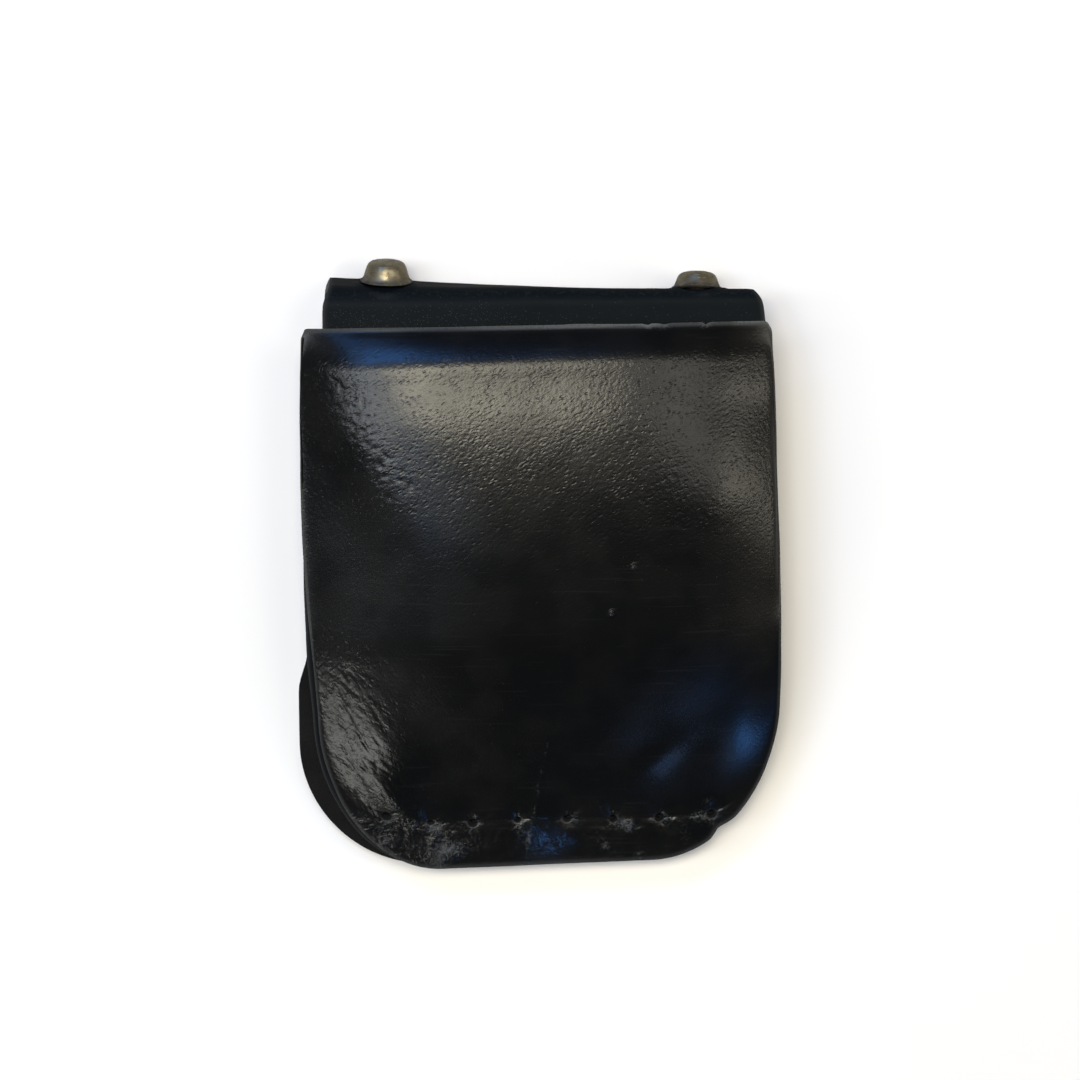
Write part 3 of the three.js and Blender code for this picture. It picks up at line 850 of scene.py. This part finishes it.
def makeFront():
    low, high = pouch["lipY"], pouch["mouthY"]
    lowCorners = (front["leftCorner"], front["rightCorner"])
    runs = sheetRuns(frontSides, low, high, lowCorners, (front["mouthCorner"],) * 2)
    bm = cutSheet(runs, front["columns"], front["rows"], lambda share: share)
    refineNear(bm, [(hole["x"], hole["y"], 2.2) for hole in holes], 2)
    wrinkled = []
    for zone in front["wrinkles"]:
        start, end = zone["line"]
        reach = front["refine"] * zone["spread"]
        for share in np.linspace(0, 1, 9):
            wrinkled.append((mix(start[0], end[0], share), mix(start[1], end[1], share), reach))
    refineNear(bm, wrinkled, 1)
    rim = edgeDistances(bm)
    x, y = np.array([vert.co[:2] for vert in bm.verts]).T
    x, y = handCut(x, y, rim, 1.5)
    for nick in front["nicks"]:
        y = y - nick["deep"] * bell(x - nick["x"], nick["wide"]) * bell(y - high, 0.9)
    inner, outer = frontSkin(x, y, frontRelief(x, y, rim))
    moveTo = np.array([shiftX, shiftY, 0])
    thicken(bm, outer + moveTo, inner + moveTo, frontMasks(x, y, rim), front["rimRound"])
    materials = [frontBlack, fleshSide, cutEdge]
    return finishPiece(bm, "frontLeather", materials, "front_panel")


# strap: side lines of the back and of the belt loop behind it, one hide folded over the crest
strap = dict(
    columns=126, rows=240, foldRadius=3.0, rimRound=0.42, tiltFadeY=30.0,
    backCorner=dict(across=21.5, along=27.0), loopCorner=dict(across=23.5, along=22.0),
    rightCorner=dict(across=21.5, along=28.0),
    ripples=[(0.16, 13, 3.5), (0.05, 4.5, 6.5)],
    relief=dict(
        collarRise=0.45, collarReach=5.0, collarWide=0.5, seatDeep=0.2, seatReach=4.2,
        holeDeep=0.9, holeWide=0.6, dimpleDeep=0.25, grooveDeep=0.62, grooveWide=0.6,
    ),
    # edgePale sets the pale rim, rubbed wear and a painted highlight
    wear=dict(crest=0.35, crestIn=2.4, crestWide=1.4, loop=0.15, grainLift=0.2, edgePale=0.45,
              dusty=(0.25, 0.95)),
    back=[
        dict(y=-50.4, left=-39.0, right=40.7),
        dict(y=-24.0, left=-39.3, right=40.9),
        dict(y=-10.0, left=-40.5, right=40.7),
        dict(y=10.0, left=-40.8, right=40.3),
        dict(y=34.0, left=-40.6, right=39.4),
        dict(y=41.0, left=-37.2, right=38.8),
        dict(y=47.8, left=-37.0, right=38.0),
        dict(y=50.8, left=-36.0, right=36.4),
    ],
    loop=[
        dict(y=-50.4, left=-41.6, right=40.5),
        dict(y=-19.0, left=-42.1, right=40.6),
        dict(y=-13.0, left=-40.6, right=40.6),
        dict(y=10.0, left=-39.6, right=40.2),
        dict(y=47.8, left=-37.0, right=38.0),
    ],
)
studs = [
    dict(name="studLeft", node="stud_left", x=-26.3, head=3.8, tilt=10.0, seed=3),
    dict(name="studRight", node="stud_right", x=27.2, head=3.1, tilt=-9.0, seed=8),
]

# the pouch stands in the frame by its lowest left edges
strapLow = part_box("back_and_belt_loop")[0] / mm
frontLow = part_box("front_panel")[0] / mm
shiftX = strapLow.x - min(row["left"] for row in strap["loop"])
lipLeft = front["sections"][0]["left"] + front["leftCorner"]["across"]
shiftY = frontLow.y - (pouch["lipY"] + pouch["lipSlope"] * lipLeft)


def strapPath(s):
    # y, z and outward direction of the strap's outer face, up the back, over the crest and down the loop
    radius, foldY = strap["foldRadius"], pouch["crestY"] - strap["foldRadius"]
    quarter, flat = math.pi / 2 * radius, pouch["loopTopZ"] - 2 * radius
    marks = np.cumsum([foldY - pouch["lipY"], quarter, flat, quarter])
    y = pouch["lipY"] + s
    climb = (backTop(y + slopeStep) - backTop(y - slopeStep)) / (2 * slopeStep)
    norm = np.hypot(climb, 1)
    upper = math.pi / 2 - (s - marks[0]) / radius
    lower = -(s - marks[2]) / radius
    zones = [s < mark for mark in marks]
    ys = [y, foldY + radius * np.cos(upper), 0 * s + pouch["crestY"], foldY + radius * np.cos(lower)]
    zs = [backTop(y), pouch["loopTopZ"] - radius + radius * np.sin(upper),
          pouch["loopTopZ"] - radius - (s - marks[1]), radius + radius * np.sin(lower)]
    outY = [-climb / norm, np.cos(upper), 0 * s + 1, np.cos(lower)]
    outZ = [1 / norm, np.sin(upper), 0 * s, np.sin(lower)]
    return (np.select(zones, ys, foldY - (s - marks[3])), np.select(zones, zs, 0),
            np.select(zones, outY, 0), np.select(zones, outZ, -1))


def strapLengths():
    # ways along the strap to the end of the back, the top of the crest, the start of the loop and its end
    radius, foldY = strap["foldRadius"], pouch["crestY"] - strap["foldRadius"]
    back, bend = foldY - pouch["lipY"], math.pi * radius + pouch["loopTopZ"] - 2 * radius
    return dict(back=back, crest=back + bend / 2, loop=back + bend, end=2 * back + bend)


def strapSides(s):
    y = strapPath(s)[0]
    onLoop = s > strapLengths()["loop"]

    def line(hand):
        return np.where(onLoop, readTable(strap["loop"], hand, y), readTable(strap["back"], hand, y))

    return line("left"), line("right") - notchInset(y)


def slantStrap(x, y, z):
    length = pouch["crestY"] - pouch["lipY"]
    slope = mix(pouch["lipSlope"], pouch["crestSlope"], (y - pouch["lipY"]) / length)
    along = (x - studs[0]["x"]) / (studs[1]["x"] - studs[0]["x"])
    tilt = np.radians(mix(studs[0]["tilt"], studs[1]["tilt"], along))
    lean = (z - pouch["loopTopZ"] / 2) * np.tan(tilt) * ease(y, strap["tiltFadeY"], pouch["crestY"])
    return np.column_stack([x, y + slope * x - lean, z])


def strapRelief(x, s, rim):
    crest, loop = strapLengths()["crest"], strapLengths()["loop"]
    y = strapPath(s)[0]
    onLoop, form = s > loop, strap["relief"]
    soft = ripple(x, s, strap["ripples"])
    under = ease(s, loop - 3, loop + 3)  # the side it lies on stays flat
    relief = soft * (1 - under) - np.abs(soft) * under
    for spec in studs:  # leather pushed up round each stud, pressed flat under it
        away = np.hypot(x - spec["x"], s - crest)
        turn = np.arctan2(s - crest, x - spec["x"])
        ragged = 0.55 + 0.45 * np.sin(3 * turn + spec["seed"]) * np.cos(2 * turn)
        relief = relief + form["collarRise"] * ragged * bell(away - form["collarReach"], form["collarWide"])
        relief = relief - form["seatDeep"] * bell(away, form["seatReach"], 4)
    for hole in holes:
        away = np.hypot(x - hole["x"], y - hole["y"])
        dimple = form["dimpleDeep"] * bell(away, seam["dimpleWide"])
        relief = relief - onLoop * (form["holeDeep"] * bell(away, form["holeWide"], 4) + dimple)
    sewn = ease(x, holes[0]["x"] - 1, holes[0]["x"]) * ease(x, holes[-1]["x"] + 1, holes[-1]["x"])
    relief = relief - onLoop * sewn * form["grooveDeep"] * bell(y - seamLine(x), form["grooveWide"])
    return relief * ease(rim, 0, 1.0)


def strapRows(share):
    # rows lie closer over the crest
    far = strapLengths()
    start, stop = (far["back"] - 4) / far["end"], (far["loop"] + 3) / far["end"]
    return np.interp(share, [0, 0.42, 0.66, 1], [0, start, stop, 1])


def strapMasks(x, y, s, rim):
    far, worn = strapLengths(), strap["wear"]
    onLoop = s > far["loop"]
    aboveMouth = ease(y, pouch["mouthY"] - 4, pouch["mouthY"]) * (s < far["crest"])
    fading = ease(y, pouch["crestY"], pouch["mouthY"] + 1)
    crestEdge = sum(bell(edge, worn["crestWide"]) for edge in
                    (s - far["back"] - worn["crestIn"], s - far["loop"] + worn["crestIn"]))
    wide = strap["relief"]["holeWide"]
    # mask for the shade painted into the stitch holes of the loop
    paintedHoleShade = sum(bell(np.hypot(x - h["x"], y - h["y"]), wide, 4) for h in holes) * onLoop
    return dict(
        scuff=np.clip(worn["crest"] * crestEdge + worn["loop"] * onLoop, 0, 1),
        grainLift=worn["grainLift"] + 0 * s,
        # rim paler: rubbed wear and a painted highlight
        edgeWearAndHighlight=worn["edgePale"] * bell(rim, 0.45),
        paintedHoleShade=np.clip(paintedHoleShade, 0, 1),
        crumple=0 * s,
        leansLeft=0 * s,
        dull=0 * s,
        dusty=aboveMouth * fading ** 2 * mix(*worn["dusty"], ease(x, 20, -25)),
    )


def makeStrap():
    lowCorners = (strap["backCorner"], strap["rightCorner"])
    highCorners = (strap["loopCorner"], strap["rightCorner"])
    runs = sheetRuns(strapSides, 0, strapLengths()["end"], lowCorners, highCorners)
    bm = cutSheet(runs, strap["columns"], strap["rows"], strapRows)
    rim = edgeDistances(bm)
    x, s = np.array([vert.co[:2] for vert in bm.verts]).T
    x, s = handCut(x, s, rim, 6.5)
    y, z, outY, outZ = strapPath(s)
    relief = strapRelief(x, s, rim)
    outer = slantStrap(x, y + outY * relief, z + outZ * relief)
    inner = slantStrap(x, y - outY * pouch["thick"], z - outZ * pouch["thick"])
    moveTo = np.array([shiftX, shiftY, 0])
    thicken(bm, outer + moveTo, inner + moveTo, strapMasks(x, y, s, rim), strap["rimRound"])
    materials = [strapBlack, fleshSide, cutEdge]
    return finishPiece(bm, "strapLeather", materials, "back_and_belt_loop")


# rivet studs: half profile of the head as radius and share of its height, then the post and the cap inside
studForm = dict(
    sides=72, postRadius=1.5, capRadius=2.2, capThick=0.9, dents=0.05, dentSize=1.7,
    profile=[(0, 1), (0.8, 0.992), (1.6, 0.97), (2.2, 0.94), (2.65, 0.9), (3.0, 0.84), (3.22, 0.77),
             (3.4, 0.67), (3.53, 0.56), (3.66, 0.43), (3.78, 0.32), (3.9, 0.23), (4.05, 0.15), (4.25, 0.1),
             (4.42, 0.075), (4.48, 0.05), (4.48, 0.02), (4.42, 0)],
)


def makeStud(spec):
    bm = bmesh.new()
    head, post, cap = spec["head"], studForm["postRadius"], studForm["capRadius"]
    capTop = -(pouch["thick"] + 2 * pouch["gap"])
    capEnd = capTop - studForm["capThick"]
    outline = [(radius, share * head) for radius, share in studForm["profile"]]
    outline += [(post, 0), (post, capTop), (cap, capTop), (cap, capEnd), (0, capEnd)]
    verts = [bm.verts.new((radius, height, 0)) for radius, height in outline]
    edges = [bm.edges.new(pair) for pair in zip(verts, verts[1:])]
    bmesh.ops.spin(bm, geom=verts + edges, cent=(0, 0, 0), axis=(0, 1, 0), dvec=(0, 0, 0),
                   angle=2 * math.pi, steps=studForm["sides"], use_merge=True)
    bmesh.ops.remove_doubles(bm, verts=bm.verts, dist=0.001)
    bmesh.ops.recalc_face_normals(bm, faces=bm.faces)
    layer = bm.verts.layers.float.new("headShare")
    bm.normal_update()
    for vert in bm.verts:
        vert[layer] = min(max(vert.co.y / head, 0), 1)
        if vert.co.y > 0.02:  # small dents and a rim that isn't quite round
            dent = noise.noise(vert.co / studForm["dentSize"] + Vector((spec["seed"], 0, 0)))
            vert.co += vert.normal * dent * studForm["dents"] * min(vert.co.y, 1)
    place = slantStrap(np.array([spec["x"]]), np.array([pouch["crestY"] + pouch["gap"]]),
                       np.array([pouch["loopTopZ"] / 2]))[0]
    tipped = Matrix.Rotation(math.radians(spec["tilt"]), 4, "X")
    lean = tipped @ Matrix.Rotation(math.atan(pouch["crestSlope"]), 4, "Z")
    where = Matrix.Translation(place + np.array([shiftX, shiftY, 0]))
    bmesh.ops.transform(bm, matrix=where @ lean, verts=bm.verts)
    return finishPiece(bm, spec["name"], [agedNickel], spec["node"])


# thread: two twisted strands that run over and under between the holes
thread = dict(
    strand=0.18, twist=0.13, pitch=1.6, step=0.12, sunk=0.2, holeSunk=0.9, backZ=0.42, backRise=0.3,
    rounding=6, spanPoints=9,
)


def threadRoute():
    points = []
    for index, hole in enumerate(holes):
        x, y = np.array([hole["x"]]), np.array([hole["y"]])
        top = frontSkin(x, y, np.array([-thread["holeSunk"]]))[1][0]
        base = np.array([top[0], top[1], thread["backZ"] + thread["backRise"]])
        points += [base, top] if index % 2 == 0 else [top, base]
        if index + 1 < len(holes):
            after = holes[index + 1]
            shares = np.linspace(0.1, 0.9, thread["spanPoints"])
            spanX, spanY = mix(hole["x"], after["x"], shares), mix(hole["y"], after["y"], shares)
            over = frontSkin(spanX, spanY, seamRelief(spanX, spanY) - thread["sunk"])[1]
            if index % 2:
                over[:, 2] = thread["backZ"]
            points += list(over)
    return np.array(points)


def strandCurve(route, phase):
    travelled = np.concatenate([[0], np.cumsum(np.linalg.norm(np.diff(route, axis=0), axis=1))])
    where = np.arange(0, travelled[-1], thread["step"])
    middle = np.column_stack([np.interp(where, travelled, route[:, axis]) for axis in range(3)])
    for turn in range(thread["rounding"]):  # round the corners at the holes
        middle[1:-1] = (middle[:-2] + 2 * middle[1:-1] + middle[2:]) / 4
    ahead = np.gradient(middle, axis=0)
    ahead /= np.linalg.norm(ahead, axis=1)[:, None]
    sideways = np.cross(ahead, (0, 1, 0))
    sideways /= np.linalg.norm(sideways, axis=1)[:, None]
    angle = 2 * math.pi * where / thread["pitch"] + phase
    upward = np.cross(sideways, ahead)
    return middle + thread["twist"] * (np.cos(angle)[:, None] * sideways + np.sin(angle)[:, None] * upward)


def makeThread():
    bm = bmesh.new()
    for phase in (0, math.pi):
        path = strandCurve(threadRoute(), phase) + np.array([shiftX, shiftY, 0])
        data = bpy.data.curves.new("strand", "CURVE")
        data.dimensions = "3D"
        data.bevel_depth, data.bevel_resolution, data.use_fill_caps = thread["strand"], 1, True
        line = data.splines.new("POLY")
        line.points.add(len(path) - 1)
        line.points.foreach_set("co", np.column_stack([path, np.ones(len(path))]).ravel())
        strand = bpy.data.objects.new("strand", data)
        bpy.context.scene.collection.objects.link(strand)
        shaped = strand.evaluated_get(bpy.context.evaluated_depsgraph_get())
        mesh = bpy.data.meshes.new_from_object(shaped)
        bm.from_mesh(mesh)
        bpy.data.objects.remove(strand)
        bpy.data.meshes.remove(mesh)
        bpy.data.curves.remove(data)
    bmesh.ops.remove_doubles(bm, verts=bm.verts, dist=0.0001)
    return finishPiece(bm, "seamThread", [waxedThread])


makeFront()
makeStrap()
for spec in studs:
    makeStud(spec)
makeThread()

# pale floor and soft lamps, bearings in degrees clockwise from the top of the pouch, sizes in metres
# a lamp stands 1 m from the pouch unless it has a reach of its own
floor = dict(size=4.0, drop=0.00004, rough=0.9, cloudScale=0.02, pale=(0.89, 0.86, 0.83, 1),
             cream=(0.91, 0.88, 0.85, 1), mirrored=(0.32, 0.30, 0.27, 1))
deepBlue = (0.10, 0.36, 1.0)
lamps = [
    dict(name="topSoftbox", bearing=-25, climb=71, wide=0.50, deep=0.22, watts=6.2, tint=(1.0, 0.94, 0.76)),
    dict(name="topFill", bearing=61, climb=59, wide=0.40, deep=0.32, watts=1.4, tint=(1.0, 0.97, 0.88)),
    dict(name="blueBand", bearing=-29, climb=42, wide=0.58, deep=0.17, watts=3.1, tint=deepBlue),
    dict(name="leftSky", bearing=-74, climb=56, wide=0.30, deep=0.28, watts=2.3, tint=(0.88, 0.93, 1.0)),
    dict(name="leftWindow", bearing=-143, climb=21, wide=0.50, deep=0.24, watts=2.5, tint=(0.99, 1.0, 0.93),
         reach=0.9),
    dict(name="leftWall", bearing=-82, climb=40, wide=0.14, deep=0.36, watts=1.0, tint=(0.9, 0.95, 1.0)),
    dict(name="rightWall", bearing=82, climb=36, wide=0.20, deep=0.48, watts=1.0, tint=(1.0, 0.94, 0.80)),
    dict(name="rightPatch", bearing=92, climb=27, wide=0.11, deep=0.70, watts=1.6, tint=(1.0, 0.93, 0.76)),
    dict(name="leftBlue", bearing=-96, climb=70, wide=0.20, deep=0.20, watts=0.4, tint=(0.4, 0.6, 1.0)),
    dict(name="lowBlue", bearing=141, climb=16, wide=0.13, deep=0.14, watts=0.86, tint=deepBlue, reach=0.9),
    dict(name="lowSlate", bearing=154, climb=19, wide=0.07, deep=0.06, watts=0.13, tint=(0.3, 0.52, 1.0),
         reach=0.9),
    dict(name="lipBlue", bearing=178, climb=52, wide=0.006, deep=0.006, watts=0.000018, tint=deepBlue,
         reach=0.1, aim=(1.6, -49.0, 6.6), spread=5),
]
roomGlow = dict(tint=(0.95, 0.98, 1.0, 1), strength=0.03)


def addFloor():
    bm = bmesh.new()
    bmesh.ops.create_grid(bm, x_segments=1, y_segments=1, size=floor["size"] / 2)
    bmesh.ops.translate(bm, vec=(0, 0, -floor["drop"]), verts=bm.verts)
    mesh = bpy.data.meshes.new("paleFloor")
    bm.to_mesh(mesh)
    bm.free()
    material, tree, shader, place = newMaterial("palePaper")
    cloud = cloudAt(tree, place, floor["cloudScale"], 2.0)[0]
    shade = mixColour(tree, cloud, floor["pale"], floor["cream"])
    mirrored = addNode(tree, "ShaderNodeLightPath").outputs["Is Glossy Ray"]  # darker in reflections
    feed(tree, shader.inputs["Base Color"], mixColour(tree, mirrored, shade, floor["mirrored"]))
    shader.inputs["Roughness"].default_value = floor["rough"]
    mesh.materials.append(material)
    ground = bpy.data.objects.new("paleFloor", mesh)
    bpy.context.scene.collection.objects.link(ground)


def addLamp(lamp):
    data = bpy.data.lights.new(lamp["name"], "AREA")
    data.shape, data.size, data.size_y = "RECTANGLE", lamp["wide"], lamp["deep"]
    data.energy, data.color = lamp["watts"], lamp["tint"]
    data.spread = math.radians(lamp.get("spread", 180))
    bearing, climb = math.radians(lamp["bearing"]), math.radians(lamp["climb"])
    level = math.cos(climb)
    where = Vector((math.sin(bearing) * level, math.cos(bearing) * level, math.sin(climb)))
    light = bpy.data.objects.new(lamp["name"], data)
    light.location = where * lamp.get("reach", 1.0) + Vector(lamp.get("aim", (0, 0, 0))) * mm
    light.rotation_euler = where.to_track_quat("Z", "Y").to_euler()
    light.visible_camera = False
    bpy.context.scene.collection.objects.link(light)


def addRoom():
    world = bpy.data.worlds.new("softRoom")
    world.use_nodes = True
    backdrop = next(node for node in world.node_tree.nodes if node.type == "BACKGROUND")
    backdrop.inputs["Color"].default_value = roomGlow["tint"]
    backdrop.inputs["Strength"].default_value = roomGlow["strength"]
    bpy.context.scene.world = world
    bpy.context.scene.view_settings.view_transform = "Standard"


addFloor()
for lamp in lamps:
    addLamp(lamp)
addRoom()
print("floor and lamps set")
